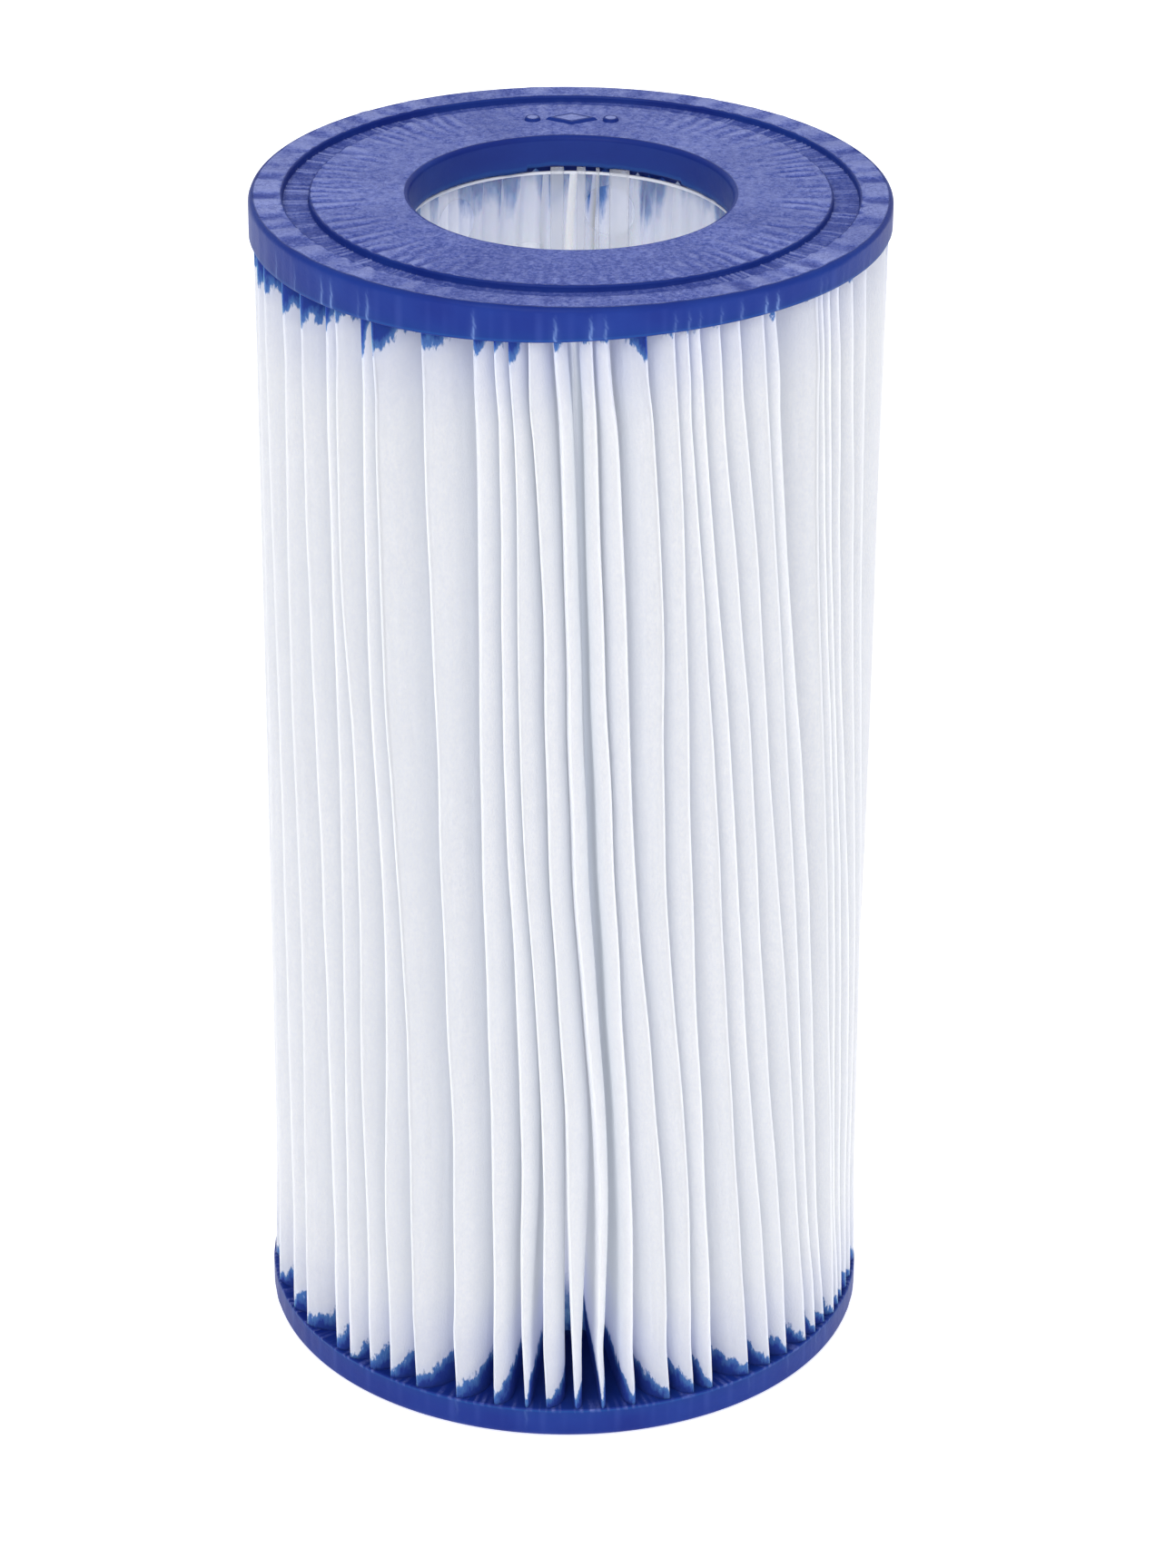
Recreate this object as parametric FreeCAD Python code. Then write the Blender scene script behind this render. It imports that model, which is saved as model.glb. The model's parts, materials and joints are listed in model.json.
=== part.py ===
import FreeCAD, Part
import math
import os

# Pleated filter cartridge for a small above-ground pool pump. Millimetres, +Z up along the
# cartridge's axis, origin at the centre of the face it stands on.
#
# Two soft end caps are poured around the ends of one pleated sheet and of a thin perforated
# tube, the core, that keeps the pleats from falling in. The sheet goes once round the core,
# and its two ends are glued to each other along one straight seam.

# ---- driving dimensions ----
CARTRIDGE_LENGTH = 208.0
CAP_RADIUS = 52.5
BORE_RADIUS = 26.4
CAP_SIDE_HEIGHT = 5.5        # of the cap's outer wall
CAP_BORE_HEIGHT = 6.2        # of the wall of the bore, which ends in a low collar
EDGE_ROUND = 0.9             # of the cap's outer and bore edges

GROOVE_INNER_RADIUS = 42.7   # sealing groove in the cap's face
GROOVE_OUTER_RADIUS = 47.0
GROOVE_DEPTH = 1.2
GROOVE_ROUND = 0.4

PLEATS = 62
SHEET_THICKNESS = 0.5
SHEET_POTTED_DEPTH = 3.4     # of the sheet's edge in each cap
TIP_CENTRE_RADIUS = 50.9     # circle that the outer folds are centred on
TIP_FOLD_RADIUS = 0.85       # fold radii are to the middle of the sheet
ROOT_CENTRE_RADIUS = 29.1
ROOT_FOLD_RADIUS = 0.60

CORE_WALL = 0.5
CORE_INNER_RADIUS = 26.9
CORE_POTTED_DEPTH = 2.4
CORE_HOLE_RADIUS = 4.5
CORE_HOLES_ROUND = 6         # in each row; every other row is turned half a step
CORE_HOLE_ROWS = 19
CORE_ROW_PITCH = 10.1
CORE_HOLE_START = 76.0       # angle in degrees of one hole of the top row

SEAM_GAP = 3.0               # between the sheet's two edges, along the panel they share
SEAM_LENGTH = 9.0            # of the glue bead along that panel: it wraps both edges
SEAM_THICKNESS = 1.1

MARK_HEIGHT = 0.5            # of the plain raised mark on the top cap
MARK_RADIUS = 34.6           # distance of its middle from the axis
MARK_LENGTH = 8.0
MARK_WIDTH = 4.6
MARK_DOT_RADIUS = 1.25
MARK_DOT_OFFSET = 6.6        # either side of the lozenge

# ---- places that follow from them ----
HALF_PLEAT = math.pi / PLEATS
SHEET_LOW_Z = CAP_SIDE_HEIGHT - SHEET_POTTED_DEPTH
SHEET_HIGH_Z = CARTRIDGE_LENGTH - SHEET_LOW_Z
CORE_LOW_Z = CAP_BORE_HEIGHT - CORE_POTTED_DEPTH
CORE_HIGH_Z = CARTRIDGE_LENGTH - CORE_LOW_Z
UP = FreeCAD.Vector(0, 0, 1)
ORIGIN = FreeCAD.Vector(0, 0, 0)


def polar(radius, angle, z=0.0):
    """A point at a radius and an angle about the axis."""
    return FreeCAD.Vector(radius * math.cos(angle), radius * math.sin(angle), z)


def ring(inner, outer, low, high):
    """A plain ring about the axis between two heights."""
    body = Part.makeCylinder(outer, high - low, FreeCAD.Vector(0, 0, low))
    hole = Part.makeCylinder(inner, high - low + 2, FreeCAD.Vector(0, 0, low - 1))
    return body.cut(hole)


# ---- the pleated sheet ----
def fold_centre(index):
    """Centre of fold number index: even folds are outer tips, odd ones inner roots."""
    radius = TIP_CENTRE_RADIUS if index % 2 == 0 else ROOT_CENTRE_RADIUS
    return polar(radius, index * HALF_PLEAT + HALF_PLEAT / 2)


def fold_radius(index, offset):
    """Radius of a fold on the surface that lies offset outwards of the sheet's middle."""
    if index % 2 == 0:
        return TIP_FOLD_RADIUS + offset
    return ROOT_FOLD_RADIUS - offset


def panel_ends(index, offset):
    """The straight run from fold index to the next: a line tangent to both, on opposite sides."""
    start = fold_centre(index)
    end = fold_centre(index + 1)
    along = end - start
    radius_start = fold_radius(index, offset)
    radius_end = fold_radius(index + 1, offset)
    lean = math.asin((radius_start + radius_end) / along.Length)
    heading = math.atan2(along.y, along.x)
    side = -1 if index % 2 == 0 else 1
    normal = heading + side * (math.pi / 2 - lean)
    reach = FreeCAD.Vector(math.cos(normal), math.sin(normal), 0)
    return start + reach * radius_start, end - reach * radius_end


def fold_middle(index, offset):
    """The point of a fold that is furthest out, or furthest in."""
    centre = fold_centre(index)
    outward = FreeCAD.Vector(centre).normalize()
    way = 1 if index % 2 == 0 else -1
    return centre + outward * (way * fold_radius(index, offset))


def pleat_face(offset, z):
    """Everything inside one surface of the sheet, as a flat face."""
    edges = []
    folds = 2 * PLEATS
    for index in range(folds):
        start, end = panel_ends(index, offset)
        following = panel_ends(index + 1, offset)[0]
        edges.append(Part.LineSegment(start, end).toShape())
        edges.append(Part.Arc(end, fold_middle(index + 1, offset), following).toShape())
    outline = Part.Wire(edges)
    outline.translate(FreeCAD.Vector(0, 0, z))
    return Part.Face(outline)


def pleated_ring(low, high):
    """The pleated sheet between two heights."""
    rise = FreeCAD.Vector(0, 0, high - low)
    outside = pleat_face(SHEET_THICKNESS / 2, low).extrude(rise)
    inside = pleat_face(-SHEET_THICKNESS / 2, low).extrude(rise)
    return outside.cut(inside)


def seam_slab(length, thickness):
    """A slab about the middle of the panel that the sheet's two ends share, at the back."""
    seam_panel = PLEATS // 2
    start, end = panel_ends(seam_panel, 0)
    middle = (start + end) * 0.5
    along = (end - start).normalize()
    across = UP.cross(along) * (thickness / 2)
    along = along * (length / 2)
    corners = [middle - along - across, middle + along - across,
               middle + along + across, middle - along + across]
    corners.append(corners[0])
    outline = Part.makePolygon(corners)
    outline.translate(FreeCAD.Vector(0, 0, SHEET_LOW_Z))
    return Part.Face(outline).extrude(FreeCAD.Vector(0, 0, SHEET_HIGH_Z - SHEET_LOW_Z))


# ---- the core ----
def core_tube():
    """The perforated tube. Each drill crosses it and so makes two opposite holes."""
    tube = ring(CORE_INNER_RADIUS, CORE_INNER_RADIUS + CORE_WALL, CORE_LOW_Z, CORE_HIGH_Z)
    step = 360 / CORE_HOLES_ROUND
    reach = CORE_INNER_RADIUS + 2 * CORE_WALL
    for row in range(CORE_HOLE_ROWS):
        z = CARTRIDGE_LENGTH / 2 + ((CORE_HOLE_ROWS - 1) / 2 - row) * CORE_ROW_PITCH
        drills = []
        for column in range(CORE_HOLES_ROUND // 2):
            angle = math.radians(CORE_HOLE_START + (column + row % 2 / 2) * step)
            start = polar(-reach, angle, z)
            drills.append(Part.makeCylinder(CORE_HOLE_RADIUS, 2 * reach, start, polar(1, angle)))
        tube = tube.cut(drills)
    return tube


# ---- the caps ----
def cap_blank():
    """One cap as a turned ring with its face at z = 0 and its media side above."""
    face_round = EDGE_ROUND * (1 - math.sqrt(0.5))

    def point(radius, z):
        return FreeCAD.Vector(radius, 0, z)

    outer = CAP_RADIUS
    bore = BORE_RADIUS
    soft = GROOVE_ROUND
    soft_gap = soft * (1 - math.sqrt(0.5))
    steps = [
        ("line", point(bore + EDGE_ROUND, 0), point(GROOVE_INNER_RADIUS - soft, 0)),
        ("arc", point(GROOVE_INNER_RADIUS - soft, 0), point(GROOVE_INNER_RADIUS - soft_gap, soft_gap),
         point(GROOVE_INNER_RADIUS, soft)),
        ("line", point(GROOVE_INNER_RADIUS, soft), point(GROOVE_INNER_RADIUS, GROOVE_DEPTH)),
        ("line", point(GROOVE_INNER_RADIUS, GROOVE_DEPTH), point(GROOVE_OUTER_RADIUS, GROOVE_DEPTH)),
        ("line", point(GROOVE_OUTER_RADIUS, GROOVE_DEPTH), point(GROOVE_OUTER_RADIUS, soft)),
        ("arc", point(GROOVE_OUTER_RADIUS, soft), point(GROOVE_OUTER_RADIUS + soft_gap, soft_gap),
         point(GROOVE_OUTER_RADIUS + soft, 0)),
        ("line", point(GROOVE_OUTER_RADIUS + soft, 0), point(outer - EDGE_ROUND, 0)),
        ("arc", point(outer - EDGE_ROUND, 0), point(outer - face_round, face_round),
         point(outer, EDGE_ROUND)),
        ("line", point(outer, EDGE_ROUND), point(outer, CAP_SIDE_HEIGHT)),
        ("line", point(outer, CAP_SIDE_HEIGHT), point(ROOT_CENTRE_RADIUS, CAP_SIDE_HEIGHT)),
        ("line", point(ROOT_CENTRE_RADIUS, CAP_SIDE_HEIGHT), point(bore + CORE_WALL * 2, CAP_BORE_HEIGHT)),
        ("line", point(bore + CORE_WALL * 2, CAP_BORE_HEIGHT), point(bore, CAP_BORE_HEIGHT)),
        ("line", point(bore, CAP_BORE_HEIGHT), point(bore, EDGE_ROUND)),
        ("arc", point(bore, EDGE_ROUND), point(bore + face_round, face_round), point(bore + EDGE_ROUND, 0)),
    ]
    edges = []
    for kind, *points in steps:
        curve = Part.LineSegment(*points) if kind == "line" else Part.Arc(*points)
        edges.append(curve.toShape())
    return Part.Face(Part.Wire(edges)).revolve(ORIGIN, UP, 360)


def raised_mark():
    """The solids of the mark: a plain lozenge with a round dot either side of it."""
    half = MARK_LENGTH / 2
    root = CARTRIDGE_LENGTH - MARK_HEIGHT
    corners = [(-half, 0), (0, MARK_WIDTH / 2), (half, 0), (0, -MARK_WIDTH / 2), (-half, 0)]
    outline = Part.makePolygon([FreeCAD.Vector(x, MARK_RADIUS + y, root) for x, y in corners])
    solids = [Part.Face(outline).extrude(FreeCAD.Vector(0, 0, 2 * MARK_HEIGHT))]
    for side in (-1, 1):
        centre = FreeCAD.Vector(side * MARK_DOT_OFFSET, MARK_RADIUS, root)
        solids.append(Part.makeCylinder(MARK_DOT_RADIUS, 2 * MARK_HEIGHT, centre))
    return solids


def end_cap(at_top, potted):
    """A cap with the slots that the pieces potted in it stand in."""
    cap = cap_blank()
    if at_top:
        cap.rotate(ORIGIN, FreeCAD.Vector(1, 0, 0), 180)
        cap.translate(FreeCAD.Vector(0, 0, CARTRIDGE_LENGTH))
        cap = cap.fuse(raised_mark())
    return cap.cut(potted)


def only_solid(shape):
    """The one solid that a boolean left."""
    assert len(shape.Solids) == 1, len(shape.Solids)
    return shape.Solids[0]


def build():
    """Every piece of the cartridge by its node's name."""
    sheet = pleated_ring(SHEET_LOW_Z, SHEET_HIGH_Z).cut(seam_slab(SEAM_GAP, SEAM_THICKNESS))
    seam = seam_slab(SEAM_LENGTH, SEAM_THICKNESS).cut(sheet)
    core = core_tube()
    return {
        "bottom_end_cap": end_cap(False, [sheet, seam, core]),
        "top_end_cap": end_cap(True, [sheet, seam, core]),
        "pleated_media": sheet,
        "media_side_seam": seam,
        "core_tube": core,
    }


os.makedirs("parts", exist_ok=True)
for name, shape in build().items():
    solid = only_solid(shape)
    assert solid.isValid(), name
    solid.exportStep("parts/" + name + ".step")
    box = solid.optimalBoundingBox()
    print(name, "volume %.0f" % solid.Volume, "z %.2f to %.2f" % (box.ZMin, box.ZMax), "x %.2f" % box.XMax)
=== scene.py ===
import json
import math
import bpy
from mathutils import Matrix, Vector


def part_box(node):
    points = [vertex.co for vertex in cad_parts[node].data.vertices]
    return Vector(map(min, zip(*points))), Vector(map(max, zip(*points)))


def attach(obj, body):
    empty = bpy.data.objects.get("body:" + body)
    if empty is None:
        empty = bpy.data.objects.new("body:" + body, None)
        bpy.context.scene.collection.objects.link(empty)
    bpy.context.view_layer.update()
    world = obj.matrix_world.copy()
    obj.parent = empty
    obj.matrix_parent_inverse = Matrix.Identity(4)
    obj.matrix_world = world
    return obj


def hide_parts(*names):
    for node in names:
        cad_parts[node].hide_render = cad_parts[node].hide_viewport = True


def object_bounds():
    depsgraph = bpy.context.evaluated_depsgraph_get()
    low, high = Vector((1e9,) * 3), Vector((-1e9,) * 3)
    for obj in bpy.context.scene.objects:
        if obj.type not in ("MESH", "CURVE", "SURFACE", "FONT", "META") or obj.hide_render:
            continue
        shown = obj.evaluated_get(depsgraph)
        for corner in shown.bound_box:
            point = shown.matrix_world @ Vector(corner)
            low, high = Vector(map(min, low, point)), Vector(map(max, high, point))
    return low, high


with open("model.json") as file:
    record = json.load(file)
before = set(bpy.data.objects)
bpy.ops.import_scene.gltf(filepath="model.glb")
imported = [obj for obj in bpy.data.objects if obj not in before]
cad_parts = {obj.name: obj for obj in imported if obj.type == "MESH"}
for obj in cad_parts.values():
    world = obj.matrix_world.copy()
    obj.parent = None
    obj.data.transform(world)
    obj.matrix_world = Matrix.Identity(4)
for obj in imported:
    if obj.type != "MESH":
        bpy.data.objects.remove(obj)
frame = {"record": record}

from types import SimpleNamespace

import bpy
import numpy as np
from mathutils import Matrix

# A pleated filter cartridge. Lengths are in millimetres until a mesh is made, and MM turns them
# into metres. Angles about the axis are in degrees: 0 faces the camera (-Y) and 90 faces +X.

MM = 0.001
CAD_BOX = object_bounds()
RANDOM = np.random.default_rng(7)


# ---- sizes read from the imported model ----
def millimetres(node):
    """A node's lowest and highest corner, in millimetres."""
    low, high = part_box(node)
    return np.array(low) / MM, np.array(high) / MM


def mount(name):
    """A mount of the record by its name."""
    return next(m for m in frame["record"]["mounts"] if m["name"] == name)


CAP_LOW, CAP_HIGH = millimetres("bottom_end_cap")
SHEET_LOW, SHEET_HIGH = millimetres("pleated_media")
CORE_LOW, CORE_HIGH = millimetres("core_tube")
FACE_Z = mount("top_sealing_face")["pos_m"][2] / MM
MARK_TOP = millimetres("top_end_cap")[1][2]
BORE_RADIUS = mount("top_bore")["dims"]["r_mm"]
CAP_RADIUS = (CAP_HIGH[0] - CAP_LOW[0]) / 2
CAD_SHEET_HALF = 0.25        # half the thickness of the plain sheet that this one replaces
TIP_RADIUS = (SHEET_HIGH[0] - SHEET_LOW[0]) / 2 - CAD_SHEET_HALF
CORE_RADIUS = (CORE_HIGH[0] - CORE_LOW[0]) / 2

# ---- the cap's own details ----
CAP_SIDE = 5.5               # height of a cap's outer wall
POUR_SLANT = 1.1             # the top cap's lower edge is higher by this to the right, lower to the left
EDGE_ROUND = 0.9
GROOVE_INNER = 42.7
GROOVE_OUTER = 47.0
GROOVE_DEPTH = 1.2
GROOVE_ROUND = 0.4
COLLAR_VISIBLE = 5.85        # how far down the bore's wall reaches: the core's rim shows below it
COLLAR_GAP = (136, 196.5)    # between these angles the top cap's collar stops short of the core
COLLAR_GAP_HEIGHT = 0.55
COLLAR_GAP_BACK = 1.1        # how far the cap reaches down behind the core's rim there
CAP_STEPS = 1200             # points round a cap, enough for its finest ripples
MARK_RADIUS = 34.6           # of the plain raised mark's middle, straight behind the bore
MARK_LENGTH = 8.0
MARK_WIDTH = 4.6
MARK_DOT_RADIUS = 1.25
MARK_DOT_OFFSET = 6.6

# ---- the pleats ----
ROOT_RADIUS = CORE_RADIUS + 0.35
SHEET_THICKNESS = 0.36
# Each pleat of the front, from the left edge round to the right edge: the angle of its fold at
# the top cap and at the bottom cap, how far blue has crept down it from the top cap, in
# millimetres, how clearly its fold shows through the top cap's side, and how much of its
# fullness it keeps at the bottom cap, both 0 to 1. Pleats are gathered by hand, so no two gaps
# are alike, and the right side has slipped round by some 20 degrees on its way down.
FRONT_PLEATS = [
    (-86, -87, 5.5, 0.1, 0.76), (-79, -77, 6, 0.1, 0.76), (-72, -66.5, 5, 0.2, 0.82),
    (-63, -60, 6, 0.4, 0.76), (-56, -49.5, 5.5, 0.3, 0.76), (-48, -45.5, 4, 0.7, 0.82),
    (-45.5, -40, 2, 0.9, 0.76), (-39, -35, 6.5, 0.2, 0.76), (-37, -29, 5.5, 0.8, 0.76),
    (-26.5, -20.5, 3.2, 0, 0.68), (-16.5, -13, 2.8, 0.7, 0.5), (-13, -7, 2.6, 0, 0.15),
    (-10.5, -3, 4, 0, 0.68), (-7, 2.5, 0, 0, 0.2), (-2.5, 7.5, 1.4, 0.8, 0.2),
    (3.5, 13.5, 0, 0.9, 0.68), (6, 20.5, 0.4, 0.5, 0.76), (13, 25.5, 4, 0, 0.7),
    (18, 29.5, 0.3, 0.3, 0.5), (20.5, 38, 0, 0.3, 0.76), (22.5, 43.5, 0, 0.2, 0.7),
    (26.5, 48.5, 0, 0.3, 0.76), (30.5, 54.5, 0.3, 0.4, 0.76), (35.5, 58, 0, 0.9, 0.7),
    (38, 62, 0.2, 1, 0.76), (48.5, 66, 0, 0.2, 0.7), (50, 69, 0, 0.1, 0.76), (52, 72, 0, 0, 0.7),
    (55, 75.5, 0, 0.1, 0.76), (60, 80, 0, 0, 0.76), (65.5, 86, 0, 0.1, 0.76), (79.5, 95, 0, 0, 0.76),
]
LEFT_LEANING = 15            # how many of them lie over to the left; the others lie to the right
BACK_PLEATS = 30
FOOT_SHARE = 0.6             # of the gap between two pleats' bases that lies flat on the core
ROOT_STAIN = 1.5             # the blue is never deeper than this at the roots, where it only seeped
# Where it seeped down the roots that show through the bore, as angles and millimetres.
SEEPED = [
    (236, 6), (217, 7), (207, 8), (200, 8), (190, 10),
    (181, 5), (174, 8), (169, 7), (155, 10), (149, 7),
]
SEEPED_VIEW = (140, 245)     # the angles that show through the bore
SEEPED_WIDTH = 3.5
CLEARANCE = 0.45             # least distance between the middles of two pleats' facing panels
BASE_SHIFT = 0.28            # of a gap, from under the fold back to where a leaning pleat is rooted
LEAST_BASE_GAP = 3.2         # degrees between two pleats' bases
FOOT_FLARE = 0.45            # how much further out the folds stand at the bottom cap
BASE_STEPS = [0, 0.012, 0.12, 0.3, 0.5, 0.7, 0.87]   # shares of the way from a root to the nose
NOSE_STEPS = [0, 20, 38, 54, 68, 80, 90]             # degrees round the quarter of an ellipse
NOSE_ROUND = 1.25            # 1 for an ellipse, more for a nose that slopes off more evenly


# ---- small helpers ----
def smoothstep(x):
    """0 below 0, 1 above 1, and a smooth rise between."""
    x = np.clip(x, 0, 1)
    return x * x * (3 - 2 * x)


def around(radius, degrees, z):
    """Points at radii and angles about the axis, as an array of x, y, z."""
    a = np.radians(degrees)
    return np.stack(np.broadcast_arrays(radius * np.sin(a), -radius * np.cos(a), z), axis=-1)


def waves(count, low, high, samples):
    """A smooth random curve over 0 to 1, one per column, within about -1 to 1."""
    t = np.linspace(0, 1, samples)[:, None]
    total = np.zeros((samples, count))
    for _ in range(3):
        rate = RANDOM.uniform(low, high, count)
        phase = RANDOM.uniform(0, 2 * math.pi, count)
        total += np.sin(2 * math.pi * rate * t + phase)
    return total / 3


def shared_waves(count, low, high, samples, modes=6):
    """Like waves, but each column is much like the one beside it, all the way round."""
    t = np.linspace(0, 1, samples)[:, None]
    index = np.arange(count)[None, :]
    total = np.zeros((samples, count))
    for _ in range(modes):
        turns = RANDOM.integers(-4, 5)
        phase = RANDOM.uniform(0, 2 * math.pi) + 2 * math.pi * turns * index / count
        total += np.sin(2 * math.pi * RANDOM.uniform(low, high) * t + phase)
    return total / math.sqrt(modes)


def mesh_object(name, points, faces, material, attributes=None):
    """A smooth mesh object from points in millimetres."""
    mesh = bpy.data.meshes.new(name)
    mesh.from_pydata((points.reshape(-1, 3) * MM).tolist(), [], faces)
    mesh.polygons.foreach_set("use_smooth", [True] * len(mesh.polygons))
    for key, values in (attributes or {}).items():
        layer = mesh.attributes.new(key, "FLOAT", "POINT")
        layer.data.foreach_set("value", np.ascontiguousarray(values, np.float32).ravel())
    mesh.materials.append(material)
    piece = bpy.data.objects.new(name, mesh)
    bpy.context.scene.collection.objects.link(piece)
    return piece


def grid_faces(rows, columns, close_rows=False, close_columns=False):
    """Quads of a grid whose points run row by row."""
    r = np.arange(rows if close_rows else rows - 1)
    c = np.arange(columns if close_columns else columns - 1)
    r, c = np.meshgrid(r, c, indexing="ij")
    r2 = (r + 1) % rows
    c2 = (c + 1) % columns
    quads = np.stack([r * columns + c, r * columns + c2, r2 * columns + c2, r2 * columns + c], axis=-1)
    return quads.reshape(-1, 4).tolist()


def rides(piece, slot, *nodes):
    """Puts a piece on the part's one body, with the nodes it stands for hidden; slot, its finish, is not
    used.
    """
    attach(piece, "root")
    if nodes:
        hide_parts(*nodes)


# ---- materials ----
class Nodes:
    """A new material with a Principled shader, and short ways to add nodes to it."""

    def __init__(self, name):
        self.material = bpy.data.materials.new(name)
        self.material.use_nodes = True
        self.tree = self.material.node_tree
        self.shader = self.tree.nodes["Principled BSDF"]

    def set(self, **values):
        for key, value in values.items():
            self.shader.inputs[key.replace("_", " ")].default_value = value

    def add(self, kind, inputs=None, **settings):
        node = self.tree.nodes.new("ShaderNode" + kind)
        for key, value in settings.items():
            setattr(node, key, value)
        for key, value in (inputs or {}).items():
            self.feed(value, node.inputs[key])
        return node

    def feed(self, value, socket):
        if isinstance(value, bpy.types.NodeSocket):
            self.tree.links.new(value, socket)
        else:
            socket.default_value = value

    def place(self):
        return self.add("TexCoord").outputs["Object"]

    def stretched(self, x, y, z):
        return self.add("Mapping", {"Vector": self.place(), "Scale": (x, y, z)}).outputs["Vector"]

    def noise(self, scale, detail=3.0, vector=None, roughness=0.5):
        inputs = {"Vector": vector or self.place(), "Scale": scale}
        inputs |= {"Detail": detail, "Roughness": roughness}
        return self.add("TexNoise", inputs).outputs["Fac"]

    def math(self, operation, a, b=0.0, c=0.0):
        node = self.add("Math", {0: a, 1: b, 2: c}, operation=operation)
        return node.outputs[0]

    def range(self, value, low, high, to_low=0.0, to_high=1.0, smooth=False):
        inputs = {"Value": value, "From Min": low, "From Max": high, "To Min": to_low, "To Max": to_high}
        kind = "SMOOTHSTEP" if smooth else "LINEAR"
        return self.add("MapRange", inputs, interpolation_type=kind, clamp=True).outputs["Result"]

    def attribute(self, name):
        return self.add("Attribute", attribute_name=name).outputs["Fac"]

    def blend(self, factor, a, b):
        node = self.add("Mix", data_type="RGBA")
        self.feed(factor, node.inputs[0])
        self.feed(a, node.inputs[6])
        self.feed(b, node.inputs[7])
        return node.outputs[2]

    def colour(self, socket):
        self.feed(socket, self.shader.inputs["Base Color"])

    def rough(self, socket):
        self.feed(socket, self.shader.inputs["Roughness"])

    def bump(self, *layers):
        """Bump layers, each a height socket and the height in millimetres of its full range."""
        normal = None
        for height, depth in layers:
            inputs = {"Height": height, "Strength": 1.0, "Distance": depth * MM}
            if normal is not None:
                inputs["Normal"] = normal
            normal = self.add("Bump", inputs).outputs["Normal"]
        self.feed(normal, self.shader.inputs["Normal"])


def rgb(red, green, blue):
    """A linear colour from one given as 0 to 255 on a screen."""
    def linear(x):
        x /= 255
        return x / 12.92 if x <= 0.04045 else ((x + 0.055) / 1.055) ** 2.4
    return (linear(red), linear(green), linear(blue), 1.0)


# The caps: smooth walls first, then the chalky face, whose colours also carry a painted sheen, with painted
# highlight and shade in its flow marks.
DEEP_BLUE = rgb(19, 40, 121)
DEEP_CLOUD = rgb(26, 54, 134)
THIN_BLUE = rgb(18, 52, 126)
TEAL_BLUE = rgb(30, 92, 158)
BAND_BLUE = rgb(64, 84, 158)
SHOW_THROUGH = rgb(112, 140, 196)
BLOOM_AND_SHEEN_DARK = rgb(58, 77, 158)
BLOOM_AND_SHEEN_BLUE = rgb(115, 128, 200)
BLOOM_AND_SHEEN_CLOUD = rgb(122, 134, 197)
PALE_BLOOM_AND_HIGHLIGHT = rgb(148, 158, 214)
DULL_BLOOM_AND_SHADE = rgb(50, 64, 144)
CRACKLE_BLUE = rgb(46, 60, 142)
# The sheet, with painted shade at its folds' crests, in its valleys and near the caps, and the blue that
# crept into it.
SHEET_WHITE = rgb(241, 241, 246)
SHEET_SHADE = rgb(233, 235, 241)
SHEET_MOTTLE = rgb(228, 231, 240)
SHEET_FIBRE = rgb(224, 227, 240)
SHEET_CREST_PAINTED_SHADE = rgb(225, 227, 234)
SHEET_VALLEY_PAINTED_SHADE = rgb(209, 214, 221)
SHEET_CAP_PAINTED_SHADE = rgb(184, 192, 228)
WICK_BLUE = rgb(22, 45, 124)
WICK_EDGE = rgb(62, 104, 164)
# The core and the glue.
CORE_WHITE = rgb(246, 247, 252)
CORE_HAZE = rgb(222, 226, 238)
CUT_EDGE = rgb(238, 241, 249)
GLUE_PALE = rgb(236, 230, 208)
GLUE_DARK = rgb(222, 212, 182)


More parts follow.
